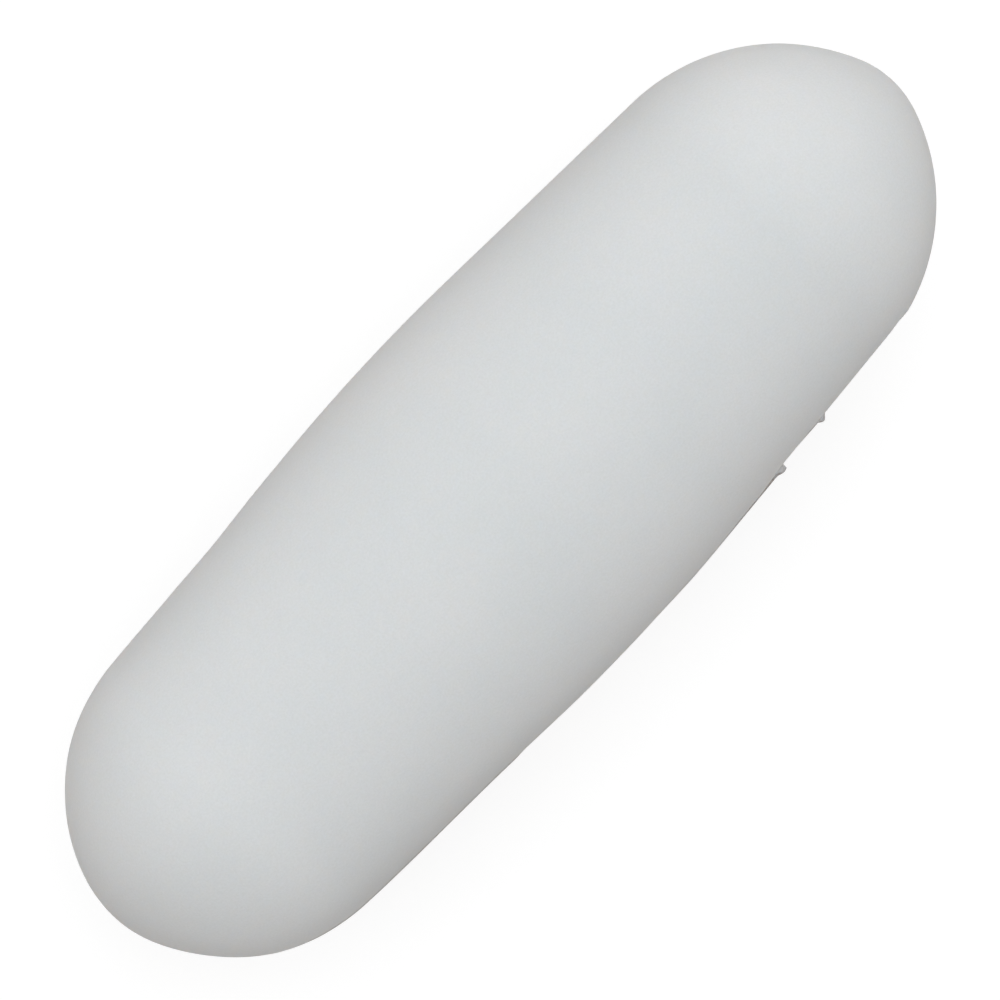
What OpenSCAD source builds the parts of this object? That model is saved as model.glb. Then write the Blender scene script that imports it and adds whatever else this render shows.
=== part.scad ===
// Magnetic stir bar: a rod magnet sealed inside a moulded PTFE jacket.
// The bar lies along X with its centre at the origin and +Z up.
// Lengths are in millimetres and angles in degrees.

/* [Jacket] */
// Overall length, from tip to tip
bar_len = 25; // [22.5:0.5:40]
// Diameter at the middle, where the jacket is thickest
belly_d = 8.46; // [7.2:0.02:10]
// Draft of the side wall, from the middle down to each end
draft = 3.4; // [1:0.1:5]
// Radius that blends the two drafted walls over the middle
belly_blend_r = 45; // [20:1:60]
// How far beyond the axis the +X shoulder is centred, where 0 would give a half ball
front_sink = 0.86; // [0.1:0.02:1.3]
// The same at the -X end, which shrank a little blunter
back_sink = 0.42; // [0.1:0.02:1.3]
// How far round each dome its shoulder arc runs before the nose arc takes over
nose_angle = 68; // [45:1:72]

/* [Magnet] */
// Diameter of the rod magnet
magnet_d = 5; // [3:0.1:5.8]
// Length of the rod magnet
magnet_len = 19; // [12:0.5:19.5]
// Chamfer on both ends of the magnet
magnet_chamfer = 0.5; // [0.2:0.05:1]
// Gap between the magnet and the jacket that was sintered round it
seal_gap = 0.02; // [0.01:0.005:0.1]

/* [Flash on the parting line] */
// Thickness of the fins
fin_t = 0.25; // [0.1:0.05:0.4]
// How far the long fin stands out of the wall
long_fin_proud = 0.05; // [0.02:0.01:0.1]
// Where the long fin leaves the belly, measured from the middle
long_fin_start = 0.8; // [0.5:0.1:2.5]
// Where the long fin breaks off, measured from the middle
long_fin_end = 4.72; // [3:0.02:4.9]
// How far the short fin stands out of the wall
short_fin_proud = 0.02; // [0.01:0.01:0.1]
// Where the short fin begins, measured from the middle
short_fin_start = 5; // [4.95:0.05:5.5]
// Where the short fin breaks off, measured from the middle
short_fin_end = 6.14; // [5.9:0.02:7]
// How much further the torn lip at a fin's end stands out
lip_proud = 0.07; // [0.02:0.01:0.15]
// Length of the torn lip along the bar
lip_len = 0.28; // [0.1:0.02:0.35]

/* [Hidden] */
$fn = 128;

// Outlines are drawn as [distance along the bar, distance from its axis].
half_len = bar_len / 2;
belly_r = belly_d / 2;
wall_along = [cos(draft), -sin(draft)];
wall_out = [sin(draft), cos(draft)];

// The belly arc is centred on the middle of the bar and touches both drafted walls.
belly_centre = [0, belly_r - belly_blend_r];
wall_start = belly_centre + belly_blend_r * wall_out;

// The shoulder arc touches the wall, and the nose arc, centred on the axis, touches the
// shoulder arc. The straight wall between belly and shoulder takes what length is left.
nose_way = [sin(nose_angle), cos(nose_angle)];
wall_lean = (1 - sin(draft)) / cos(draft);
nose_lean = (1 - sin(nose_angle)) / cos(nose_angle);
function wall_len(sink) = (half_len - wall_start.x + sink * nose_lean) / wall_lean - wall_start.y - sink;
function wall_end(sink) = wall_start + wall_len(sink) * wall_along;
function shoulder_r(sink) = (wall_end(sink).y + sink) / cos(draft);
function shoulder_centre(sink) = wall_end(sink) - shoulder_r(sink) * wall_out;
function nose_r(sink) = shoulder_r(sink) - sink / cos(nose_angle);

// Each arc is drawn this much proud of its neighbour, to cross it and not only touch it
bite = 0.0005;
// How far the windows that cut the arcs out of their discs reach past them
trim = 0.5;
// How deep the root of a fin sits in the wall
fin_root = 0.3;
// How many points each fin's outer edge has
fin_points = 30;

// Radius of the belly and side wall at x, short of the shoulder
function wall_r(x) =
    abs(x) < wall_start.x
    ? belly_centre.y + sqrt(belly_blend_r ^ 2 - x ^ 2)
    : wall_start.y - (abs(x) - wall_start.x) * tan(draft);

// An ease from 0 to 1 over the lip at the end of a fin
function lip_rise(x, end) =
    let (part = max(0, 1 - (end - x) / lip_len))
    part * part * (3 - 2 * part);

// Turns an outline about the bar's axis
module about_axis() {
    rotate([0, 90, 0])
        rotate_extrude()
            mirror([1, -1])
                children();
}

// The part of a disc that a window leaves
module disc_in_window(centre, radius, window) {
    intersection() {
        translate(centre)
            circle(radius);
        polygon(window);
    }
}

module belly_arc() {
    side = wall_start.x + trim;
    top = belly_r + trim;
    disc_in_window(belly_centre, belly_blend_r + bite,
        [[-side, 0], [side, 0], [side, top], [-side, top]]);
}

module side_walls() {
    front = wall_end(front_sink);
    back = wall_end(back_sink);
    polygon([
        [-back.x, 0],
        [front.x, 0],
        front,
        wall_start,
        [-wall_start.x, wall_start.y],
        [-back.x, back.y]
    ]);
}

// Shoulder and nose of one end. The two arcs meet on the line through both their centres.
module domed_end(sink) {
    nose_centre = [half_len - nose_r(sink), 0];
    past_joint = nose_centre + (nose_r(sink) + trim) * nose_way;
    side = wall_end(sink).x - trim;
    top = belly_r + trim;
    tip = half_len + trim;
    disc_in_window(shoulder_centre(sink), shoulder_r(sink) + bite,
        [[side, 0], [side, top], [past_joint.x, top], past_joint, nose_centre]);
    disc_in_window(nose_centre, nose_r(sink) + 2 * bite,
        [nose_centre, [nose_centre.x, top], [tip, top], [tip, 0]]);
}

module jacket_outline() {
    belly_arc();
    side_walls();
    domed_end(front_sink);
    mirror([1, 0])
        domed_end(back_sink);
}

// A thin fin of flash that stands out of the wall on the -Y side and ends in a torn lip
module fin(start, end, proud) {
    edge = [
        for (i = [0:fin_points - 1])
            let (x = start + (end - start) * i / (fin_points - 1))
            [x, min(belly_r, wall_r(x) + proud) + lip_proud * lip_rise(x, end)]
    ];
    root = [[end, wall_r(end) - fin_root], [start, wall_r(start) - fin_root]];
    translate([0, 0, -fin_t / 2])
        linear_extrude(fin_t)
            mirror([0, 1])
                polygon(concat(edge, root));
}

// The magnet's outline, or its bed in the jacket when a gap is given
module magnet_outline(gap = 0) {
    end = magnet_len / 2 + gap;
    side = magnet_d / 2 + gap;
    polygon([
        [-end, 0],
        [end, 0],
        [end, side - magnet_chamfer],
        [end - magnet_chamfer, side],
        [magnet_chamfer - end, side],
        [-end, side - magnet_chamfer]
    ]);
}

module jacket() {
    color("whitesmoke")
        difference() {
            union() {
                about_axis()
                    jacket_outline();
                fin(long_fin_start, long_fin_end, long_fin_proud);
                fin(short_fin_start, short_fin_end, short_fin_proud);
            }
            about_axis()
                magnet_outline(seal_gap);
        }
}

module magnet() {
    color("dimgray")
        about_axis()
            magnet_outline();
}

jacket();
magnet();
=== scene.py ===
# %% [markdown]
# # A magnetic stir bar
#
# A stir bar is a rod magnet sealed inside a white PTFE jacket. It lies in a flask on a
# stirrer, whose turning magnet drags it round. The CAD model gives its size and place.
# Blender gives the jacket its moulded skin, and both pieces their real surfaces.
#
# Everything is in metres, in the CAD model's own frame: the bar lies along X with its
# middle at the origin, and +Z is up.

# %% Load the CAD model
from math import cos, pi, radians, sin

import bpy
from mathutils import Euler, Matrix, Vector


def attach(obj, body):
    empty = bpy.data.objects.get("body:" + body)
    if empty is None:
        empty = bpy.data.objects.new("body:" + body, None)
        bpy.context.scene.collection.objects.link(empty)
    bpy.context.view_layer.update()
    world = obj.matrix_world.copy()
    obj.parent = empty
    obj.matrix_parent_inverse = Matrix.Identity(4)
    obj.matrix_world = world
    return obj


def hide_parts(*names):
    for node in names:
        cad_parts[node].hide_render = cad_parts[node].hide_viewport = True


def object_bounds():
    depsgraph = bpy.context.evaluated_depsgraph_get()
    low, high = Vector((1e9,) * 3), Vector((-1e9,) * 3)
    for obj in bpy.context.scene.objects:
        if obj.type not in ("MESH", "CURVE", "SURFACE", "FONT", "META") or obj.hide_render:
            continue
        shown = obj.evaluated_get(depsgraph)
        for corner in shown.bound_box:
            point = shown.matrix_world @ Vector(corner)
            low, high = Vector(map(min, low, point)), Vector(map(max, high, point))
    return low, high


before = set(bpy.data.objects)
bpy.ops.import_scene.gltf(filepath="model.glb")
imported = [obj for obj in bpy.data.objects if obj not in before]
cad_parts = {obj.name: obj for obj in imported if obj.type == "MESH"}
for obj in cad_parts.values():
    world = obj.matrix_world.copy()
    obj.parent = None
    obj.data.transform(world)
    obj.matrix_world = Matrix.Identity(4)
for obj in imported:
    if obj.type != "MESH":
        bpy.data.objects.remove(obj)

mm = 0.001
cad_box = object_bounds()
print("CAD box, mm:", *[[round(v / mm, 3) for v in corner] for corner in cad_box])

# %% [markdown]
# ## Sizes of the jacket
#
# The jacket is a turned shape: one outline carried round the bar's axis. The outline is
# a chain of arcs that touch. A long, flat belly arc runs over the middle. On each side a
# straight wall drops away at the draft angle, so that the bar could leave its mould.
# Each end is a shoulder arc and then a tighter nose arc. The two ends shrank a little
# differently in the oven, so each has its own sink, which says how far beyond the axis
# the centre of its shoulder lies.

# %% Sizes of the jacket
bar_length = 25 * mm
belly_radius = 4.23 * mm
belly_arc = 45 * mm
draft = radians(3.4)
nose_angle = radians(68)
front_sink, back_sink = 0.86 * mm, 0.42 * mm
wall_start = Vector((belly_arc * sin(draft), belly_radius - belly_arc * (1 - cos(draft))))


def dome(sink):
    """Radius and centre of the shoulder and nose arcs of one end."""
    wall_lean = (1 - sin(draft)) / cos(draft)
    nose_lean = (1 - sin(nose_angle)) / cos(nose_angle)
    left = bar_length / 2 - wall_start.x + sink * nose_lean
    wall_length = left / wall_lean - wall_start.y - sink
    wall_end = wall_start + wall_length * Vector((cos(draft), -sin(draft)))
    shoulder = (wall_end.y + sink) / cos(draft)
    nose = shoulder - sink / cos(nose_angle)
    return {
        "shoulder": (shoulder, wall_end - shoulder * Vector((sin(draft), cos(draft)))),
        "nose": (nose, Vector((bar_length / 2 - nose, 0))),
    }


front, back = dome(front_sink), dome(back_sink)
for name, end in (("front", front), ("back", back)):
    print(name, *[f"{arc} radius {radius / mm:.2f} mm" for arc, (radius, at) in end.items()])

# %% [markdown]
# ## Two helpers for node trees
#
# Node trees can be wired by hand in the editor, or in code as here. One small function
# adds a node, applies its settings, and fills its inputs with values or links. Another
# starts a Geometry Nodes tree that has a named input for each size.


# %% Node helpers
def add(tree, kind, inputs=None, **settings):
    """Adds a node. Each input is a value, a socket, a node, or a list of them to join."""
    made = tree.nodes.new(kind)
    for name, value in settings.items():
        setattr(made, name, value)
    for key, value in (inputs or {}).items():
        for one in value if isinstance(value, list) else [value]:
            if isinstance(one, bpy.types.Node):
                one = one.outputs[0]
            if isinstance(one, bpy.types.NodeSocket):
                tree.links.new(one, made.inputs[key])
            else:
                made.inputs[key].default_value = one
    return made


def start_tree(name, sizes, result="Geometry"):
    """A tree with its named inputs and one result. Returns it, its inputs and its end."""
    tree = bpy.data.node_groups.new(name, "GeometryNodeTree")
    kinds = {tuple: "Vector", float: "Float", int: "Int", str: "Geometry"}
    for label, value in sizes.items():
        kind = "NodeSocket" + kinds.get(type(value), "Material")
        socket = tree.interface.new_socket(label, in_out="INPUT", socket_type=kind)
        if type(value) in (tuple, float, int):
            socket.default_value = value
    kind = "NodeSocketFloat" if result == "Rise" else "NodeSocketGeometry"
    tree.interface.new_socket(result, in_out="OUTPUT", socket_type=kind)
    return tree, tree.nodes.new("NodeGroupInput").outputs, tree.nodes.new("NodeGroupOutput")


print("helpers: add, start_tree")

# %% [markdown]
# ## One arc of the outline
#
# All five arcs come from one little group, which draws an arc between two angles and
# moves it to its centre. Angles are counted from the +X tip, so the whole outline runs
# from 0 at that tip, through 90 degrees at the top, to 180 at the other tip.

# %% Arc group
arc_group, given, end = start_tree(
    "outline_arc", {"Centre": (0.0, 0.0, 0.0), "Radius": 1.0, "From": 0.0, "To": 1.0}
)
sweep = add(arc_group, "ShaderNodeMath", {0: given["To"], 1: given["From"]}, operation="SUBTRACT")
arc = add(
    arc_group,
    "GeometryNodeCurveArc",
    {
        "Resolution": 96,
        "Radius": given["Radius"],
        "Start Angle": given["From"],
        "Sweep Angle": sweep,
    },
    mode="RADIUS",
)
moved = add(arc_group, "GeometryNodeTransform", {"Geometry": arc, "Translation": given["Centre"]})
arc_group.links.new(moved.outputs[0], end.inputs[0])
print(f"{arc_group.name}: {len(arc_group.nodes)} nodes")

# %% [markdown]
# ## Turning an outline
#
# A turned shape can be made with the Screw modifier, or by sweeping a circle along a
# line. Here a flat grid is wrapped instead, because every vertex then knows its place:
# its row picks a point of the outline, and its column an angle round the bar. Welding
# close vertices shuts the seam and both poles.

# %% Lathe group
# Vertices closer than this are one.
weld = 0.00001 * mm
lathe, given, end = start_tree("lathe", {"Outline": "", "Columns": 128})
columns = given["Columns"]
rows = add(
    lathe, "GeometryNodeAttributeDomainSize", {"Geometry": given["Outline"]}, component="CURVE"
)
grid = add(lathe, "GeometryNodeMeshGrid", {"Vertices X": rows, "Vertices Y": columns})
index = add(lathe, "GeometryNodeInputIndex")
row = add(lathe, "FunctionNodeIntegerMath", {0: index, 1: columns}, operation="DIVIDE_FLOOR")
column = add(lathe, "FunctionNodeIntegerMath", {0: index, 1: columns}, operation="MODULO")
last = add(lathe, "FunctionNodeIntegerMath", {0: columns, 1: 1}, operation="SUBTRACT")
turn = add(lathe, "ShaderNodeMapRange", {"Value": column, "From Max": last, "To Max": -2 * pi})
here = add(lathe, "GeometryNodeInputPosition")
point = add(
    lathe,
    "GeometryNodeSampleIndex",
    {"Geometry": given["Outline"], "Value": here, "Index": row},
    data_type="FLOAT_VECTOR",
)
placed = add(
    lathe, "ShaderNodeVectorRotate", {"Vector": point, "Angle": turn}, rotation_type="X_AXIS"
)
wrapped = add(lathe, "GeometryNodeSetPosition", {"Geometry": grid, "Position": placed})
welded = add(lathe, "GeometryNodeMergeByDistance", {"Geometry": wrapped, "Distance": weld})
lathe.links.new(welded.outputs[0], end.inputs[0])
print(f"{lathe.name}: {len(lathe.nodes)} nodes")

# %% [markdown]
# ## What is left of the flash
#
# Where the two halves of the mould met, a little PTFE squeezed out as a thin fin of
# flash. Most of it was pulled off afterwards, and two stretches stayed. Each starts as a
# low ledge and ends in a small raised lip, where it tore. On the rear half it tore close
# to the wall, and left a thinner, rough stub with no lip. All of this is far too small to
# matter to the bar's work, but the eye finds it at once on so plain a thing.

# %% Sizes of the flash
# Places along the bar and heights above the wall, in mm. The last one is the share of the
# lip's height that is left where it stops.
long_fin = {
    "Start": 0.3,
    "Run-in": 0.5,
    "End": 4.712,
    "Proud": 0.024,
    "Lip proud": 0.06,
    "Lip rise": 0.185,
    "Lip fall": 0.088,
    "Left at the end": 0.8,
}
short_fin = {
    "Start": 4.75,
    "Run-in": 1.1,
    "End": 6.192,
    "Proud": 0.034,
    "Lip proud": 0.078,
    "Lip rise": 0.125,
    "Lip fall": 0.172,
    "Left at the end": 0.0,
}
stub = {
    "Start": -10.5,
    "Run-in": 0.8,
    "End": -3.65,
    "Proud": 0.022,
    "Lip proud": 0.0,
    "Lip rise": 0.1,
    "Lip fall": 0.4,
    "Left at the end": 0.0,
}
flash = {
    "Fin thickness": 0.25 * mm,
    "Stub thickness": 0.14 * mm,
    "Pared depth": 0.066 * mm,
    "Pared run-in": 0.9 * mm,
    "Pared end": 9.1 * mm,
}
for name, fin_sizes in (("Long", long_fin), ("Short", short_fin), ("Stub", stub)):
    for label, value in fin_sizes.items():
        flash[f"{name} {label}"] = value if label == "Left at the end" else value * mm
print("fins reach x =", long_fin["End"], "and", short_fin["End"], "mm")

# %% [markdown]
# ## The ledge of a fin
#
# A fin could be a separate strip pushed into the wall, but then the wall would have to
# be cut to weld it. Instead this group works out how far the skin is raised at each
# place along the bar, and the skin itself is pulled out there, in one piece with the
# rest. It starts with the low ledge, and with how far up the lip each place is.

# %% Ledge of the fin
inputs = {"Along": 0.0, "Wall": 0.0, "Highest": 1.0} | {label: 0.0 for label in long_fin}
fin, given, end = start_tree("torn_fin", inputs, "Rise")
along = given["Along"]
room = add(fin, "ShaderNodeMath", {0: given["Highest"], 1: given["Wall"]}, operation="SUBTRACT")
ledge = add(fin, "ShaderNodeMath", {0: room, 1: given["Proud"]}, operation="MINIMUM")
run_in = add(fin, "ShaderNodeMath", {0: given["Start"], 1: given["Run-in"]}, operation="ADD")
begun = add(
    fin, "ShaderNodeMapRange", {"Value": along, "From Min": given["Start"], "From Max": run_in}
)
top = add(fin, "ShaderNodeMath", {0: given["End"], 1: given["Lip fall"]}, operation="SUBTRACT")
foot = add(fin, "ShaderNodeMath", {0: top, 1: given["Lip rise"]}, operation="SUBTRACT")
up_the_lip = add(fin, "ShaderNodeMapRange", {"Value": along, "From Min": foot, "From Max": top})
print("inputs of a fin:", *inputs)

# %% [markdown]
# ## The lip of a fin
#
# A torn lip has no simple formula, so its rise is drawn with a Float Curve: it
# starts steeply at the foot and rounds off towards the top. Past the top it rolls over
# to what is left at the end, and there the fin stops short.

# %% Lip of the fin
drawn = add(fin, "ShaderNodeFloatCurve", {"Value": up_the_lip})
for x, y in ((0.25, 0.38), (0.5, 0.68), (0.75, 0.92)):
    drawn.mapping.curves[0].points.new(x, y)
drawn.mapping.update()
lip = add(fin, "ShaderNodeMath", {0: drawn, 1: given["Lip proud"]}, operation="MULTIPLY")
height = add(fin, "ShaderNodeMath", {0: ledge, 1: begun, 2: lip}, operation="MULTIPLY_ADD")
rolled = add(
    fin,
    "ShaderNodeMapRange",
    {
        "Value": along,
        "From Min": top,
        "From Max": given["End"],
        "To Min": 1.0,
        "To Max": given["Left at the end"],
    },
    interpolation_type="SMOOTHSTEP",
)
not_torn = add(fin, "ShaderNodeMath", {0: along, 1: given["End"]}, operation="LESS_THAN")
kept = add(fin, "ShaderNodeMath", {0: rolled, 1: not_torn}, operation="MULTIPLY")
rise = add(fin, "ShaderNodeMath", {0: height, 1: kept}, operation="MULTIPLY")
fin.links.new(rise.outputs[0], end.inputs[0])
print(f"{fin.name}: {len(fin.nodes)} nodes")

# %% [markdown]
# ## A swell or a hollow
#
# PTFE slumps a little in the sintering oven, so a moulded bar is never quite true. Each
# place where it swells or sinks, by a few hundredths of a millimetre, is one call of this
# group: a soft bump that fades to nothing at its reach.

# %% Slump group
slump, given, end = start_tree(
    "slump", {"Centre": (0.0, 0.0, 0.0), "Reach": 1.0, "Rise": 0.0}, "Rise"
)
here = add(slump, "GeometryNodeInputPosition")
away = add(slump, "ShaderNodeVectorMath", {0: here, 1: given["Centre"]}, operation="DISTANCE")
near = add(
    slump,
    "ShaderNodeMapRange",
    {
        "Value": away.outputs["Value"],
        "From Max": given["Reach"],
        "To Min": 1.0,
        "To Max": 0.0,
    },
    interpolation_type="SMOOTHSTEP",
)
rise = add(slump, "ShaderNodeMath", {0: near, 1: given["Rise"]}, operation="MULTIPLY")
slump.links.new(rise.outputs[0], end.inputs[0])
# Centre, reach and rise in mm.
slumps = {
    "Back tip": ((-11.9, -1.7, 0), 2.2, -0.075),
    "Back nose": ((-12.3, -0.8, 0), 3.0, -0.024),
    "Front tip": ((12.3, 1.1, 0), 1.9, -0.036),
    "Back right shoulder": ((-9.5, -3.75, 0), 1.4, -0.02),
    "Back right": ((-7.6, -3.95, 0), 1.9, 0.013),
    "Right waist": ((-4.4, -4.1, 0), 2.5, -0.022),
    "Back left shoulder": ((-10.3, 3.4, 0), 1.3, 0.02),
    "Back left": ((-8.4, 3.9, 0), 2.0, 0.03),
    "Left waist": ((-5.1, 4.0, 0), 1.6, -0.026),
}
print(f"{slump.name}: {len(slump.nodes)} nodes, {len(slumps)} slumps")

# %% [markdown]
# ## The jacket's tree
#
# The main tree has a named input for every size, so that any of them can be tried in the
# modifier's panel without touching the tree: the arcs, the slumps, the flash, the bed
# that holds the magnet, and how finely the skin is cut into steps and columns.

# %% Inputs of the jacket's tree
sizes = {
    "Draft": draft,
    "Nose angle": nose_angle,
    "Belly radius": belly_radius,
    "Belly arc": belly_arc,
    "Belly centre": (0.0, belly_radius - belly_arc, 0.0),
}
for name, dome_arcs, side in (("Front", front, 1), ("Back", back, -1)):
    for part, (radius, at) in dome_arcs.items():
        sizes[f"{name} {part}"] = radius
        sizes[f"{name} {part} centre"] = (side * at.x, at.y, 0.0)
for name, (at, reach, rise) in slumps.items():
    sizes[f"{name} slump"] = tuple(v * mm for v in at)
    sizes |= {f"{name} reach": reach * mm, f"{name} rise": rise * mm}
sizes |= flash
sizes |= {"Bed half length": 9.52 * mm, "Bed radius": 2.52 * mm, "Bed chamfer": 0.5 * mm}
sizes |= {"Step": 0.1 * mm, "Columns": 209, "Sag": 0.012 * mm, "Seed": 7.0}
jacket_tree, given, end = start_tree("moulded_jacket", sizes | {"Material": None})
print(f"{len(sizes)} named sizes")

# %% [markdown]
# ## The outline's five arcs
#
# Each arc starts at the angle where the one before it stops, because arcs that touch
# share a tangent there. A quarter turn less the nose angle ends the front nose, a
# quarter turn less the draft ends the front shoulder, and the back mirrors them.

# %% Arcs of the outline
angles = [0.0]
for offset, operation in (
    ("Nose angle", "SUBTRACT"),
    ("Draft", "SUBTRACT"),
    ("Draft", "ADD"),
    ("Nose angle", "ADD"),
):
    ends = {0: pi / 2, 1: given[offset]}
    angles.append(add(jacket_tree, "ShaderNodeMath", ends, operation=operation))
angles.append(pi)
order = (
    ("Front nose", "Front nose centre"),
    ("Front shoulder", "Front shoulder centre"),
    ("Belly arc", "Belly centre"),
    ("Back shoulder", "Back shoulder centre"),
    ("Back nose", "Back nose centre"),
)
arcs = []
for i, (radius, centre) in enumerate(order):
    inputs = {"Centre": given[centre], "Radius": given[radius]}
    inputs |= {"From": angles[i], "To": angles[i + 1]}
    arcs.append(add(jacket_tree, "GeometryNodeGroup", inputs, node_tree=arc_group))
print("arcs:", [name for name, centre in order])

# %% [markdown]
# ## One line from five arcs
#
# The straight walls need no node of their own: they are the gaps that close when the
# points of all arcs are strung on one line, in the order of their X. The line is then
# cut into even steps.

# %% Line of the outline
# Where two arcs touch, one ends where the next starts. Points closer than this are one.
touching = 0.0001 * mm
place = add(jacket_tree, "GeometryNodeInputPosition")
spot = add(jacket_tree, "ShaderNodeSeparateXYZ", {0: place})
x, y, z = spot.outputs
all_arcs = add(jacket_tree, "GeometryNodeJoinGeometry", {0: arcs})
points = add(jacket_tree, "GeometryNodeCurveToPoints", {0: all_arcs}, mode="EVALUATED")
once = {"Geometry": points, "Distance": touching}
thinned = add(jacket_tree, "GeometryNodeMergeByDistance", once)
strung = add(jacket_tree, "GeometryNodePointsToCurves", {"Points": thinned, "Weight": x})
steps = {"Curve": strung, "Length": given["Step"]}
stepped = add(jacket_tree, "GeometryNodeResampleCurve", steps, mode="LENGTH")
print("step:", sizes["Step"] / mm, "mm")

# %% [markdown]
# ## Finer steps at the torn ends
#
# A fin ends in a cliff only a tenth of a millimetre high, so steps of 0.1 mm would turn
# it into a ramp. Subdivide Curve takes a number of cuts for each piece of the line. Here
# it is eight within a lip's length of a torn end and none elsewhere.


# %% Rows near the torn ends
def distance_to(tree, along, size):
    """How far a place along the bar is from a named place."""
    gap = add(tree, "ShaderNodeMath", {0: along, 1: size}, operation="SUBTRACT")
    return add(tree, "ShaderNodeMath", {0: gap}, operation="ABSOLUTE")


lip_length = 0.36 * mm
extra_cuts = 8
torn_ends = [distance_to(jacket_tree, x, given[f"{name} End"]) for name in ("Long", "Short")]
nearest = add(
    jacket_tree, "ShaderNodeMath", {0: torn_ends[0], 1: torn_ends[1]}, operation="MINIMUM"
)
close = add(jacket_tree, "ShaderNodeMath", {0: nearest, 1: lip_length}, operation="LESS_THAN")
cuts = add(jacket_tree, "ShaderNodeMath", {0: close, 1: extra_cuts}, operation="MULTIPLY")
outline = add(jacket_tree, "GeometryNodeSubdivideCurve", {"Curve": stepped, "Cuts": cuts})
turned = {"Outline": outline, "Columns": given["Columns"]}
skin = add(jacket_tree, "GeometryNodeGroup", turned, node_tree=lathe)
print(f"rows at a torn end: {sizes['Step'] / (extra_cuts + 1) / mm:.3f} mm apart")

# %% [markdown]
# ## Crowding the columns
#
# The fins are only a quarter of a millimetre thick, and the turned skin's columns are an
# eighth of a millimetre apart. Ten times as many columns all round would be a waste. So
# the columns are drawn together on the flash's side of the bar, by a cubic that leaves
# the opposite side free, and only over the length that has flash on it.

# %% Columns near the flash
flash_middle = -1.8 * mm
crowded_within, even_beyond = 9 * mm, 11 * mm
# A crowded column is this share of an even one.
crowding = 0.1
down = add(jacket_tree, "ShaderNodeMath", {0: y, 1: -1.0}, operation="MULTIPLY")
angle = add(jacket_tree, "ShaderNodeMath", {0: z, 1: down}, operation="ARCTAN2")
share = add(jacket_tree, "ShaderNodeMath", {0: angle, 1: pi}, operation="DIVIDE")
evenness = add(
    jacket_tree,
    "ShaderNodeMapRange",
    {
        "Value": distance_to(jacket_tree, x, flash_middle),
        "From Min": crowded_within,
        "From Max": even_beyond,
        "To Min": crowding,
        "To Max": 1.0,
    },
    interpolation_type="SMOOTHSTEP",
)
cube = add(jacket_tree, "ShaderNodeMath", {0: share, 1: 3.0}, operation="POWER")
rest = add(jacket_tree, "ShaderNodeMath", {0: 1.0, 1: evenness}, operation="SUBTRACT")
bunched = add(jacket_tree, "ShaderNodeMath", {0: cube, 1: rest}, operation="MULTIPLY")
crowded = add(
    jacket_tree, "ShaderNodeMath", {0: share, 1: evenness, 2: bunched}, operation="MULTIPLY_ADD"
)
step_back = add(jacket_tree, "ShaderNodeMath", {0: share, 1: crowded}, operation="SUBTRACT")
turn = add(jacket_tree, "ShaderNodeMath", {0: step_back, 1: pi}, operation="MULTIPLY")
shifted = add(
    jacket_tree, "ShaderNodeVectorRotate", {"Vector": place, "Angle": turn}, rotation_type="X_AXIS"
)
combed = add(jacket_tree, "GeometryNodeSetPosition", {"Geometry": skin, "Position": shifted})
spacing = 2 * pi * belly_radius / (sizes["Columns"] - 1)
print(f"columns: {spacing / mm:.3f} mm apart, and {crowding * spacing / mm:.3f} mm at the flash")

# %% [markdown]
# ## Raising the flash
#
# The skin moves straight out from the axis. Each call of the fin's group gives a height
# along the bar: two for the fins, and one for the stub.

# %% Heights of the flash
outward = add(jacket_tree, "ShaderNodeCombineXYZ", {1: y, 2: z})
radius = add(jacket_tree, "ShaderNodeVectorMath", {0: outward}, operation="LENGTH")
way = add(jacket_tree, "ShaderNodeVectorMath", {0: outward}, operation="NORMALIZE")
fins = []
for name in ("Long", "Short", "Stub"):
    inputs = {"Along": x, "Wall": radius.outputs["Value"], "Highest": given["Belly radius"]}
    inputs |= {label: given[f"{name} {label}"] for label in long_fin}
    fins.append(add(jacket_tree, "GeometryNodeGroup", inputs, node_tree=fin))
both = add(jacket_tree, "ShaderNodeMath", {0: fins[0], 1: fins[1]}, operation="ADD")
print(f"{fin.name} is called {len(fins)} times")

# %% [markdown]
# ## How thick the flash is
#
# A mask across the parting line gives the fins their thickness, and a thinner one does
# the same for the stub. A mask's edges are soft, so the skin slopes up the side of a fin
# and isn't stretched into a sheer step.

# %% Flash on the skin
soft_edge = 0.02 * mm
off_line = add(jacket_tree, "ShaderNodeMath", {0: z}, operation="ABSOLUTE")
this_side = add(jacket_tree, "ShaderNodeMath", {0: y, 1: 0.0}, operation="LESS_THAN")


def strip(thickness):
    """1 within a thickness that straddles the parting line on the -Y side, and 0 off it."""
    half = add(jacket_tree, "ShaderNodeMath", {0: thickness, 1: 0.5}, operation="MULTIPLY")
    inner = add(jacket_tree, "ShaderNodeMath", {0: half, 1: soft_edge}, operation="SUBTRACT")
    outer = add(jacket_tree, "ShaderNodeMath", {0: half, 1: soft_edge}, operation="ADD")
    across = add(
        jacket_tree,
        "ShaderNodeMapRange",
        {"Value": off_line, "From Min": inner, "From Max": outer, "To Min": 1.0, "To Max": 0.0},
        interpolation_type="SMOOTHSTEP",
    )
    return add(jacket_tree, "ShaderNodeMath", {0: across, 1: this_side}, operation="MULTIPLY")


mask = strip(given["Fin thickness"])
raised = add(jacket_tree, "ShaderNodeMath", {0: both, 1: mask}, operation="MULTIPLY")
stub_mask = strip(given["Stub thickness"])
stub_rise = add(jacket_tree, "ShaderNodeMath", {0: fins[2], 1: stub_mask}, operation="MULTIPLY")
print("fins", flash["Fin thickness"] / mm, "mm and stub", flash["Stub thickness"] / mm, "mm thick")

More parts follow.
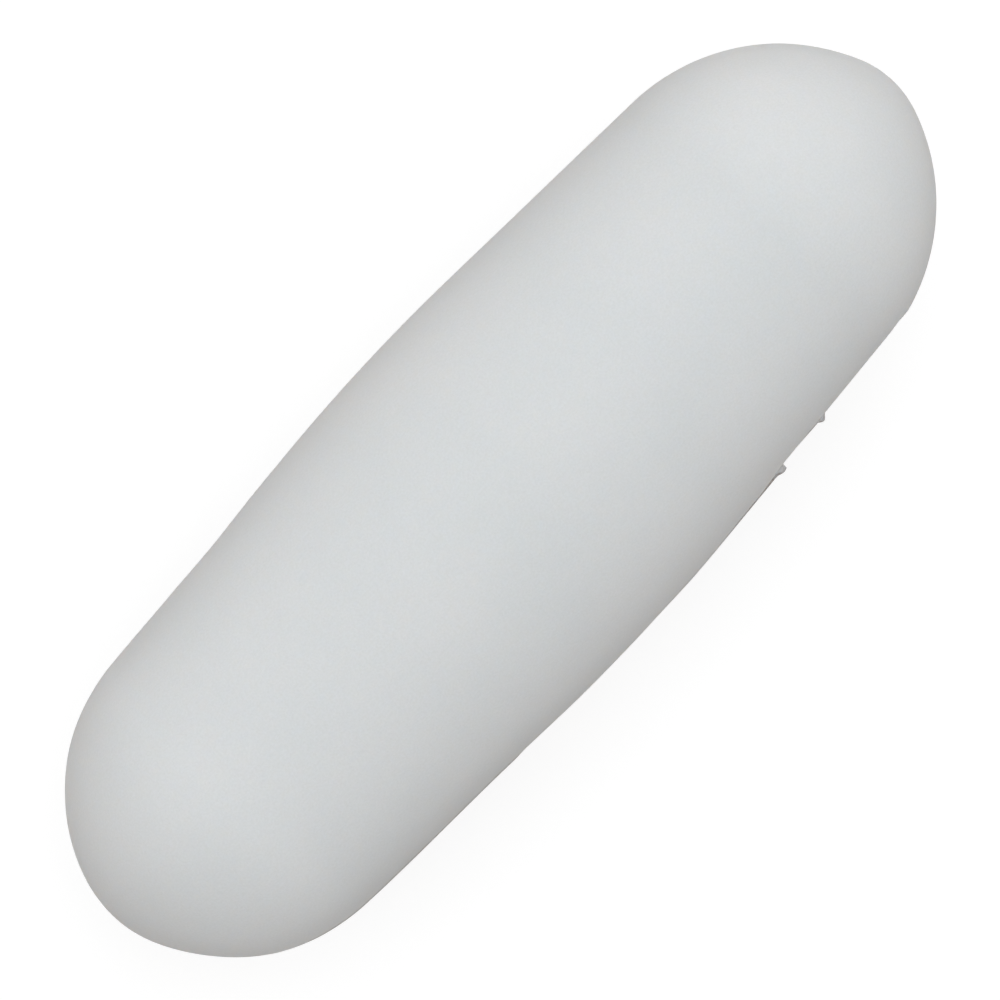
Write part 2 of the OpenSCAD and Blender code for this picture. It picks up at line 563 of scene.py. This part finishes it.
# %% [markdown]
# ## Where flash was pared away
#
# Beyond the long fin the flash was cut off with a blade, which took a shaving of the wall
# with it. A straight cut along a round bar leaves a narrow flat. It is deepest on the
# parting line, and at a height z off that line it is shallower by z squared over twice
# the bar's radius. The blade ran in beside the fin's last millimetre before it cut the
# fin through, so the flat starts there in a rounded end, with the fin standing on it.

# %% Pared flat
run_out = 0.5 * mm
climb = add(jacket_tree, "ShaderNodeMath", {0: off_line, 1: off_line}, operation="MULTIPLY")
bend = add(jacket_tree, "ShaderNodeMath", {0: climb, 1: -0.5 / belly_radius}, operation="MULTIPLY")
fading = add(
    jacket_tree, "ShaderNodeMath", {0: given["Pared end"], 1: run_out}, operation="SUBTRACT"
)
cut_along = add(
    jacket_tree,
    "ShaderNodeMapRange",
    {
        "Value": x,
        "From Min": fading,
        "From Max": given["Pared end"],
        "To Min": given["Pared depth"],
        "To Max": 0.0,
    },
    interpolation_type="SMOOTHSTEP",
)
first_touch = add(
    jacket_tree,
    "ShaderNodeMath",
    {0: given["Long End"], 1: given["Pared run-in"]},
    operation="SUBTRACT",
)
deeper = add(
    jacket_tree,
    "ShaderNodeMapRange",
    {"Value": x, "From Min": first_touch, "From Max": given["Long End"]},
    interpolation_type="SMOOTHSTEP",
)
started = add(jacket_tree, "ShaderNodeMath", {0: deeper, 1: this_side}, operation="MULTIPLY")
cut_here = add(
    jacket_tree, "ShaderNodeMath", {0: cut_along, 1: started, 2: bend}, operation="MULTIPLY_ADD"
)
flat = add(jacket_tree, "ShaderNodeMath", {0: cut_here, 1: 0.0}, operation="MAXIMUM")
uncut = add(jacket_tree, "ShaderNodeMath", {0: x, 1: given["Long End"]}, operation="LESS_THAN")
standing = add(jacket_tree, "ShaderNodeMath", {0: uncut, 1: mask}, operation="MULTIPLY")
bare = add(jacket_tree, "ShaderNodeMath", {0: 1.0, 1: standing}, operation="SUBTRACT")
pared = add(jacket_tree, "ShaderNodeMath", {0: flat, 1: bare}, operation="MULTIPLY")
flat_width = 2 * (2 * belly_radius * flash["Pared depth"]) ** 0.5
print(f"flat: {flat_width / mm:.2f} mm wide")

# %% [markdown]
# ## A skin that isn't perfect
#
# The slumps are added up, and slow 3-D noise sinks the skin by another hundredth of a
# millimetre or less. The noise only ever moves it inwards, and leaves the fins alone, so
# the jacket never grows past its size.

# %% Slumps and noise
sag_width = 5 * mm
uneven = add(jacket_tree, "ShaderNodeMath", {0: raised, 1: stub_rise}, operation="ADD")
for name in slumps:
    inputs = {
        "Centre": given[f"{name} slump"],
        "Reach": given[f"{name} reach"],
        "Rise": given[f"{name} rise"],
    }
    one = add(jacket_tree, "GeometryNodeGroup", inputs, node_tree=slump)
    uneven = add(jacket_tree, "ShaderNodeMath", {0: uneven, 1: one}, operation="ADD")
cloud = add(
    jacket_tree,
    "ShaderNodeTexNoise",
    {"W": given["Seed"], "Scale": 1 / sag_width, "Detail": 2.0, "Roughness": 0.5},
    noise_dimensions="4D",
)
off_fin = add(jacket_tree, "ShaderNodeMath", {0: 1.0, 1: mask}, operation="SUBTRACT")
sag = add(jacket_tree, "ShaderNodeMath", {0: cloud, 1: given["Sag"]}, operation="MULTIPLY")
sunk = add(jacket_tree, "ShaderNodeMath", {0: sag, 1: off_fin, 2: pared}, operation="MULTIPLY_ADD")
change = add(jacket_tree, "ShaderNodeMath", {0: uneven, 1: sunk}, operation="SUBTRACT")
offset = add(jacket_tree, "ShaderNodeVectorMath", {0: way, "Scale": change}, operation="SCALE")
shaped = add(jacket_tree, "GeometryNodeSetPosition", {"Geometry": combed, "Offset": offset})
print("noise sinks the skin by up to", sizes["Sag"] / mm, "mm")

# %% [markdown]
# ## Where shade is painted on the flash
#
# The sides of the flash, below a fin's top, are where painted shade goes. The shader
# can't know where they are, but the tree can, so it stores that as an attribute: 1 on a
# fin's side, and 0 on open skin. It grows along the long fin from none to full, and
# needs a fin that is high enough. The stub has it all along.

# %% Painted shade attribute
below = add(jacket_tree, "ShaderNodeMath", {0: both, 1: raised}, operation="SUBTRACT")
# Where the mask is less than this, a place isn't on a fin.
least_mask = 0.04
torn = add(jacket_tree, "ShaderNodeMath", {0: mask, 1: least_mask}, operation="GREATER_THAN")
# The depth below the fin's top, the fin's height, and the place along the bar, each with
# the measure where there is no painted shade and the one where it is full.
for value, none, full in (
    (below, 0.03 * mm, 0.014 * mm),
    (both, 0.018 * mm, 0.023 * mm),
    (x, 2.2 * mm, 3.4 * mm),
):
    limits = {"Value": value, "From Min": none, "From Max": full}
    part = add(jacket_tree, "ShaderNodeMapRange", limits)
    torn = add(jacket_tree, "ShaderNodeMath", {0: torn, 1: part}, operation="MULTIPLY")
# The stub gets painted shade all along, by how far it stands out.
stub_unshaded, stub_shaded = 0.002 * mm, 0.012 * mm
limits = {"Value": stub_rise, "From Min": stub_unshaded, "From Max": stub_shaded}
stub_shade = add(jacket_tree, "ShaderNodeMapRange", limits)
torn = add(jacket_tree, "ShaderNodeMath", {0: torn, 1: stub_shade}, operation="MAXIMUM")
# The attribute marks where the shader paints shade on the flash.
stored = {"Geometry": shaped, "Name": "torn_edge", "Value": torn}
marked = add(jacket_tree, "GeometryNodeStoreNamedAttribute", stored)
smooth = add(jacket_tree, "GeometryNodeSetShadeSmooth", {"Geometry": marked})
print("attribute:", stored["Name"])

# %% [markdown]
# ## The magnet's bed
#
# The jacket was pressed and sintered round the magnet, so it is hollow inside, with a
# bed that fits the rod and its chamfers. Its outline has only six corners: three for the
# front half, and the same three mirrored for the back.

# %% Outline of the bed
bed_end, bed_radius = given["Bed half length"], given["Bed radius"]
chamfer = given["Bed chamfer"]
side_end = add(jacket_tree, "ShaderNodeMath", {0: bed_end, 1: chamfer}, operation="SUBTRACT")
flat_radius = add(jacket_tree, "ShaderNodeMath", {0: bed_radius, 1: chamfer}, operation="SUBTRACT")
front_half = [
    add(jacket_tree, "ShaderNodeCombineXYZ", {0: along, 1: out})
    for along, out in ((side_end, bed_radius), (bed_end, flat_radius), (bed_end, 0.0))
]
back_half = [
    add(jacket_tree, "ShaderNodeVectorMath", {0: corner, 1: (-1.0, 1.0, 1.0)}, operation="MULTIPLY")
    for corner in reversed(front_half)
]
corners = back_half + front_half
which = add(jacket_tree, "GeometryNodeIndexSwitch", data_type="VECTOR")
for _ in corners[2:]:
    which.index_switch_items.new()
number = add(jacket_tree, "GeometryNodeInputIndex")
jacket_tree.links.new(number.outputs[0], which.inputs["Index"])
for i, corner in enumerate(corners):
    jacket_tree.links.new(corner.outputs[0], which.inputs[i + 1])
bed_points = add(jacket_tree, "GeometryNodePoints", {"Count": len(corners), "Position": which})
bed_outline = add(jacket_tree, "GeometryNodePointsToCurves", {"Points": bed_points})
print("bed:", len(corners), "corners")

# %% [markdown]
# ## Skin and bed together
#
# The same lathe turns the bed. Its faces are flipped, because there the PTFE is outside
# them and the magnet inside. Skin and bed are then one closed piece with one material.
# Realize Instances makes sure that nothing in it is only a reference.

# %% End of the jacket's tree
bed_columns = 97
turned = {"Outline": bed_outline, "Columns": bed_columns}
bed_skin = add(jacket_tree, "GeometryNodeGroup", turned, node_tree=lathe)
bed_wall = add(jacket_tree, "GeometryNodeFlipFaces", {"Mesh": bed_skin})
whole = add(jacket_tree, "GeometryNodeJoinGeometry", {0: [smooth, bed_wall]})
real = add(jacket_tree, "GeometryNodeRealizeInstances", {"Geometry": whole})
coat = {"Geometry": real, "Material": given["Material"]}
coated = add(jacket_tree, "GeometryNodeSetMaterial", coat)
jacket_tree.links.new(coated.outputs[0], end.inputs[0])
print(f"{jacket_tree.name}: {len(jacket_tree.nodes)} nodes")

# %% [markdown]
# ## Colours
#
# Colours are given as sRGB hex values, but the renderer mixes linear light.
# One function turns one into the other, and one blends two colours. A third starts each
# material, and hands over places on the piece in its own coordinates, so a pattern stays
# put on it.


# %% Colour helpers
def colour(code):
    """Linear colour of an sRGB hex code such as #D9DDDE."""
    parts = [int(code[i : i + 2], 16) / 255 for i in (1, 3, 5)]
    return (*[p / 12.92 if p <= 0.04045 else ((p + 0.055) / 1.055) ** 2.4 for p in parts], 1.0)


def blend(tree, factor, first, second, **settings):
    """A mix of two colours: inputs 6 and 7 of a Mix node, and output 2 for the result."""
    inputs = {"Factor": factor, 6: first, 7: second}
    return add(tree, "ShaderNodeMix", inputs, data_type="RGBA", **settings).outputs[2]


def start_material(name):
    """A material with its tree, its shader, and a socket that gives places on the piece."""
    material = bpy.data.materials.new(name)
    material.use_nodes = True
    tree = material.node_tree
    places = add(tree, "ShaderNodeTexCoord").outputs["Object"]
    return material, tree, tree.nodes["Principled BSDF"], places


print("middle grey #808080 is", round(colour("#808080")[0], 3), "in linear light")

# %% [markdown]
# ## The colour of PTFE
#
# PTFE is pressed as a white powder and sintered, not melted and injected. To the eye it
# is a cool, milky white that is never quite even. Two noises make that: slow clouds a
# few millimetres across, from powder that was packed a little more or less densely, and
# the grain of the powder itself.

# %% PTFE colour
cloud_size = 3 * mm
# Real grains are 0.02 to 0.05 mm. The coarse end of that is just wide enough to show.
grain_size = 0.05 * mm
ptfe, tree, shader, spot = start_material("PTFE, pressed and sintered")
clouds = add(tree, "ShaderNodeTexNoise", {"Vector": spot, "Scale": 1 / cloud_size, "Detail": 3.0})
tint = blend(tree, clouds, colour("#DBDFE1"), colour("#E4E5E6"))
grain = add(tree, "ShaderNodeTexNoise", {"Vector": spot, "Scale": 1 / grain_size, "Detail": 2.0})
fleck = blend(tree, grain, colour("#F2F2F0"), colour("#FFFFFF"))
milky = blend(tree, 1.0, tint, fleck, blend_type="MULTIPLY")
print(f"{ptfe.name}: clouds {cloud_size / mm} mm, grain {grain_size / mm} mm")

# %% [markdown]
# ## Painted shade at the parting line
#
# The two halves of the mould met at z = 0, which from above is the bar's outline. There
# the colour is darkened as painted shade of the rim: a hairline, a narrow band and a
# wider one. A blotchy noise breaks it up. It is strongest on the side that has the flash,
# which faces away from the lamps, and most of all on the rear half.

# %% Painted shade at the parting line
x, y, z = add(tree, "ShaderNodeSeparateXYZ", {0: spot}).outputs
height = add(tree, "ShaderNodeMath", {0: z}, operation="ABSOLUTE")


def band(clean, dirty, strength):
    """Painted shade: none at one distance off the line, growing to its strength at another."""
    limits = {"Value": height, "From Min": clean, "From Max": dirty, "To Max": strength}
    return add(tree, "ShaderNodeMapRange", limits)


# Painted shade: the bar's rim along the parting line is darkened in three bands.
hairline = band(0.05 * mm, 0.02 * mm, 1.0)
narrow_shade = band(0.7 * mm, 0.1 * mm, 0.26)
wide_shade = band(2.0 * mm, 0.4 * mm, 0.13)
# The painted shade is strongest on the -Y side and the rear half, away from the lamps.
shaded_side = add(
    tree,
    "ShaderNodeMapRange",
    {"Value": y, "From Min": 1.5 * mm, "From Max": -1.5 * mm, "To Min": 0.3},
)
rear = add(
    tree, "ShaderNodeMapRange", {"Value": x, "From Min": 3 * mm, "From Max": -3 * mm, "To Min": 0.5}
)
hairline_strength = 0.35
line_shade = add(
    tree,
    "ShaderNodeMath",
    {0: hairline, 1: hairline_strength, 2: narrow_shade},
    operation="MULTIPLY_ADD",
)
blotch_size = 0.9 * mm
blotches = add(
    tree, "ShaderNodeTexNoise", {"Vector": spot, "Scale": 1 / blotch_size, "Detail": 4.0}
)
blotchy = add(tree, "ShaderNodeMapRange", {"Value": blotches, "From Min": 0.35, "From Max": 0.65})
parting_shade = add(tree, "ShaderNodeMath", {0: line_shade, 1: blotchy, 2: wide_shade}, operation="MULTIPLY_ADD")
for share in (shaded_side, rear):
    parting_shade = add(tree, "ShaderNodeMath", {0: parting_shade, 1: share}, operation="MULTIPLY")
print("grime within 2 mm of the parting line")

# %% [markdown]
# ## Painted shade on the flash
#
# The sides of the fins and the stub are darkened as painted shade, in streaks a tenth of
# a millimetre wide. The attribute that the tree stored says where it is. Whichever
# painted shade is stronger shows: here it turns the milky white towards a warm grey.

# %% Painted shade on the PTFE
streak_size = 0.12 * mm
torn_edge = add(tree, "ShaderNodeAttribute", attribute_name="torn_edge").outputs["Fac"]
streaks = add(tree, "ShaderNodeTexNoise", {"Vector": spot, "Scale": 1 / streak_size, "Detail": 3.0})
# Painted shade on the sides of the fins and on the stub, broken into streaks.
streaky_shade = add(
    tree,
    "ShaderNodeMapRange",
    {"Value": streaks, "From Min": 0.3, "From Max": 0.6, "To Min": 0.45, "To Max": 1.0},
)
edge_shade = add(tree, "ShaderNodeMath", {0: torn_edge, 1: streaky_shade}, operation="MULTIPLY")
painted_shade = add(tree, "ShaderNodeMath", {0: parting_shade, 1: edge_shade}, operation="MAXIMUM")
# Both painted shades turn the milky white towards the warm grey #8F8984.
shaded_milky = blend(tree, painted_shade, milky, colour("#8F8984"))
tree.links.new(shaded_milky, shader.inputs["Base Color"])
print("dirt on the torn edge: streaks", streak_size / mm, "mm")

# %% [markdown]
# ## The waxy look
#
# Light sinks more than a millimetre into PTFE before it comes back out, which washes out
# small shadows. Red light goes deepest, so the turned-away edges look a little warmer
# than the middle. Its refractive index is very low, 1.35, and the skin follows a blasted
# mould wall, so its sheen is broad and faint. The mould's slow waves and the grain are
# bump, because they are only microns high.

# %% PTFE skin
wave_size = 1.0 * mm
satin = add(tree, "ShaderNodeMapRange", {"Value": grain, "To Min": 0.52, "To Max": 0.64})
tree.links.new(satin.outputs[0], shader.inputs["Roughness"])
waves = add(tree, "ShaderNodeTexNoise", {"Vector": spot, "Scale": 1 / wave_size, "Detail": 2.0})
wavy = add(tree, "ShaderNodeBump", {"Height": waves, "Distance": 0.012 * mm})
grainy = add(tree, "ShaderNodeBump", {"Height": grain, "Distance": 0.002 * mm, "Normal": wavy})
tree.links.new(grainy.outputs[0], shader.inputs["Normal"])
shader.inputs["IOR"].default_value = 1.35
shader.inputs["Specular IOR Level"].default_value = 0.3
shader.inputs["Subsurface Weight"].default_value = 1.0
shader.inputs["Subsurface Radius"].default_value = (1.0, 0.85, 0.72)
shader.inputs["Subsurface Scale"].default_value = 1.6 * mm
print(f"{ptfe.name}: {len(tree.nodes)} nodes")

# %% [markdown]
# ## Cast magnet alloy
#
# The rod is aluminium, nickel and cobalt in iron, cast in a shell mould. Its side keeps
# the dull, granular skin of the casting, with the grit of the moulding sand in it. Its
# ends were ground to length, so they are smoother and brighter. The jacket hides all of
# this, but the rod is a real piece, and a bar cut open for a lesson would show it.

# %% Colour of the magnet
grit_size = 0.25 * mm
ground_from = 9.45 * mm
alloy, tree, shader, spot = start_material("Aluminium-nickel-cobalt alloy, cast and ground")
x = add(tree, "ShaderNodeSeparateXYZ", {0: spot}).outputs["X"]
reach = add(tree, "ShaderNodeMath", {0: x}, operation="ABSOLUTE")
ground = add(tree, "ShaderNodeMath", {0: reach, 1: ground_from}, operation="GREATER_THAN")
sand = add(tree, "ShaderNodeTexNoise", {"Vector": spot, "Scale": 1 / grit_size, "Detail": 4.0})
cast = blend(tree, sand, colour("#5F5D5B"), colour("#7A7876"))
metal = blend(tree, ground, cast, colour("#A9A8A5"))
tree.links.new(metal, shader.inputs["Base Color"])
shader.inputs["Metallic"].default_value = 1.0
print(f"cast side, ground ends beyond {ground_from / mm} mm")

# %% [markdown]
# ## Grit and grinding lines
#
# The wheel left straight lines across each end. Real ones are a hundredth of a
# millimetre apart, too fine to show, so they are drawn 0.08 mm apart. One switch, the
# ground ends, picks both the pattern of the bump and how dull the metal is.

# %% Surface of the magnet
line_spacing = 0.08 * mm
dull = add(tree, "ShaderNodeMapRange", {"Value": ground, "To Min": 0.62, "To Max": 0.34})
tree.links.new(dull.outputs[0], shader.inputs["Roughness"])
lines = add(
    tree,
    "ShaderNodeTexWave",
    {"Vector": spot, "Scale": 1 / line_spacing, "Distortion": 1.5},
    bands_direction="Y",
)
depth = add(tree, "ShaderNodeMix", {"Factor": ground, "A": sand, "B": lines})
rough = add(tree, "ShaderNodeBump", {"Height": depth, "Distance": 0.01 * mm})
tree.links.new(rough.outputs[0], shader.inputs["Normal"])
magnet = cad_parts["magnet"]
magnet.data.materials.clear()
magnet.data.materials.append(alloy)
print(f"{alloy.name}: {len(tree.nodes)} nodes")

# %% [markdown]
# ## Making the jacket
#
# An empty mesh carries the tree as a modifier. Every size is set on the modifier by its
# socket's identifier, before the object is first looked at. The evaluated result is then
# copied into a plain mesh, and the carrier is thrown away.

# %% Make the jacket
carrier = bpy.data.objects.new("carrier", bpy.data.meshes.new("carrier"))
bpy.context.scene.collection.objects.link(carrier)
maker = carrier.modifiers.new("jacket", "NODES")
maker.node_group = jacket_tree
for socket in jacket_tree.interface.items_tree:
    if socket.in_out == "INPUT":
        maker[socket.identifier] = ptfe if socket.name == "Material" else sizes[socket.name]
evaluated = carrier.evaluated_get(bpy.context.evaluated_depsgraph_get())
mesh = bpy.data.meshes.new_from_object(evaluated)
bpy.data.objects.remove(carrier)
mesh.name = "jacket_skin"
jacket = bpy.data.objects.new("jacket_skin", mesh)
bpy.context.scene.collection.objects.link(jacket)
triangles = sum(len(face.vertices) - 2 for face in mesh.polygons)
print(f"jacket: {len(mesh.vertices)} points, {triangles} triangles")

# %% [markdown]
# ## A pale floor
#
# The bar lies on its belly on a sheet of white card. White card would also light the
# bar strongly from below and wash out its rounding. So the floor has two looks. What the
# camera, a reflection or a clear piece sees is white card with a soft shadow. What
# throws light back at the bar is duller and warmer, like the wood of a bench.


# %% Floor and backdrop
def seen(tree):
    """1 for rays that look at a surface, and 0 for rays that only bring it light."""
    ray = add(tree, "ShaderNodeLightPath")
    looks = ray.outputs["Is Camera Ray"]
    for kind in ("Is Glossy Ray", "Is Transmission Ray"):
        looks = add(tree, "ShaderNodeMath", {0: looks, 1: ray.outputs[kind]}, operation="MAXIMUM")
    return looks


floor_radius = 0.6
card, tree, shader, spot = start_material("Matt white card")
shader.inputs["Base Color"].default_value = colour("#909090")
shader.inputs["Roughness"].default_value = 0.9
shader.inputs["Emission Color"].default_value = colour("#FFFFFF")
shader.inputs["Emission Strength"].default_value = 0.78
bench = add(tree, "ShaderNodeBsdfDiffuse", {"Color": colour("#6A5848")})
look = add(tree, "ShaderNodeMixShader", {0: seen(tree), 1: bench, 2: shader})
tree.links.new(look.outputs[0], tree.nodes["Material Output"].inputs["Surface"])
bpy.ops.mesh.primitive_circle_add(
    vertices=96, radius=floor_radius, fill_type="NGON", location=(0, 0, cad_box[0].z)
)
floor = bpy.context.object
floor.name = "floor"
floor.data.materials.append(card)
print("floor at", round(floor.location.z / mm, 3), "mm")

# %% [markdown]
# ## Soft light
#
# A waxy white thing is best shown in light from all round, with only a little more from
# one side. The world is a pale tent. A soft box hangs overhead, and two lower ones stand
# beyond the +X tip and beyond the +Y side, so the bar darkens gently towards the others.


# %% World and lamps
lamp_distance = 0.5
world = bpy.data.worlds.new("studio")
bpy.context.scene.world = world
world.use_nodes = True
tree = world.node_tree
tree.nodes.clear()
tent = add(tree, "ShaderNodeBackground", {"Color": colour("#FFFFFF"), "Strength": 0.756})
backdrop = add(tree, "ShaderNodeBackground", {"Color": colour("#FFFFFF"), "Strength": 1.0})
either = add(tree, "ShaderNodeMixShader", {0: seen(tree), 1: tent, 2: backdrop})
add(tree, "ShaderNodeOutputWorld", {"Surface": either})


def soft_box(name, azimuth, elevation, width, height, power, tint):
    """A soft box that faces the bar. Angles are in degrees, and the power in watts."""
    data = bpy.data.lights.new(name, "AREA")
    data.shape, data.size, data.size_y = "RECTANGLE", width, height
    data.energy, data.color = power, colour(tint)[:3]
    a, e = radians(azimuth), radians(elevation)
    way = Vector((cos(e) * cos(a), cos(e) * sin(a), sin(e)))
    lamp = bpy.data.objects.new(name, data)
    lamp.location = way * lamp_distance
    lamp.rotation_euler = way.to_track_quat("Z", "Y").to_euler()
    bpy.context.scene.collection.objects.link(lamp)
    print(f"{name}: {power} W from {azimuth}, {elevation} degrees")


soft_box("overhead", 20, 62, 0.45, 0.45, 0.713, "#F9FCFF")
soft_box("beyond_the_tip", 0, 15, 0.35, 0.3, 0.11, "#FFFFFF")
soft_box("beyond_the_side", 90, 15, 0.35, 0.3, 0.264, "#FFFFFF")

# %% [markdown]
# ## The camera
#
# The camera looks straight down, through a long lens that keeps the bar's true outline.
# It is rolled so that the bar lies across the frame, rising to the right.

# %% Camera
lens, sensor = 200, 36
# In pixels. The bar is longer than the frame is wide, because it lies on the diagonal.
bar_pixels, frame_pixels = 1141.8, 1000
pixel = bar_length / bar_pixels
frame_width = frame_pixels * pixel
# The middle of the frame is this far to the left of the bar's middle, and this far below.
left_of_bar, below_bar = 3.3, 1.5
roll = radians(47.21)
right, up = Vector((cos(roll), -sin(roll), 0)), Vector((sin(roll), cos(roll), 0))
camera_data = bpy.data.cameras.new("camera")
camera_data.lens, camera_data.sensor_width = lens, sensor
camera_data.clip_start, camera_data.clip_end = 0.001, 10
camera = bpy.data.objects.new("camera", camera_data)
camera.location = -(left_of_bar * right + below_bar * up) * pixel
camera.location.z = frame_width * lens / sensor
camera.rotation_euler = Euler((0, 0, -roll))
bpy.context.scene.collection.objects.link(camera)
bpy.context.scene.camera = camera
bpy.context.scene.view_settings.view_transform = "Standard"
print(f"camera {camera.location.z:.3f} m up, frame {frame_width / mm:.2f} mm wide")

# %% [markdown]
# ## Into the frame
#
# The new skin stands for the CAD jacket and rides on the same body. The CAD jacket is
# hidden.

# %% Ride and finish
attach(jacket, "root")
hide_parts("jacket")
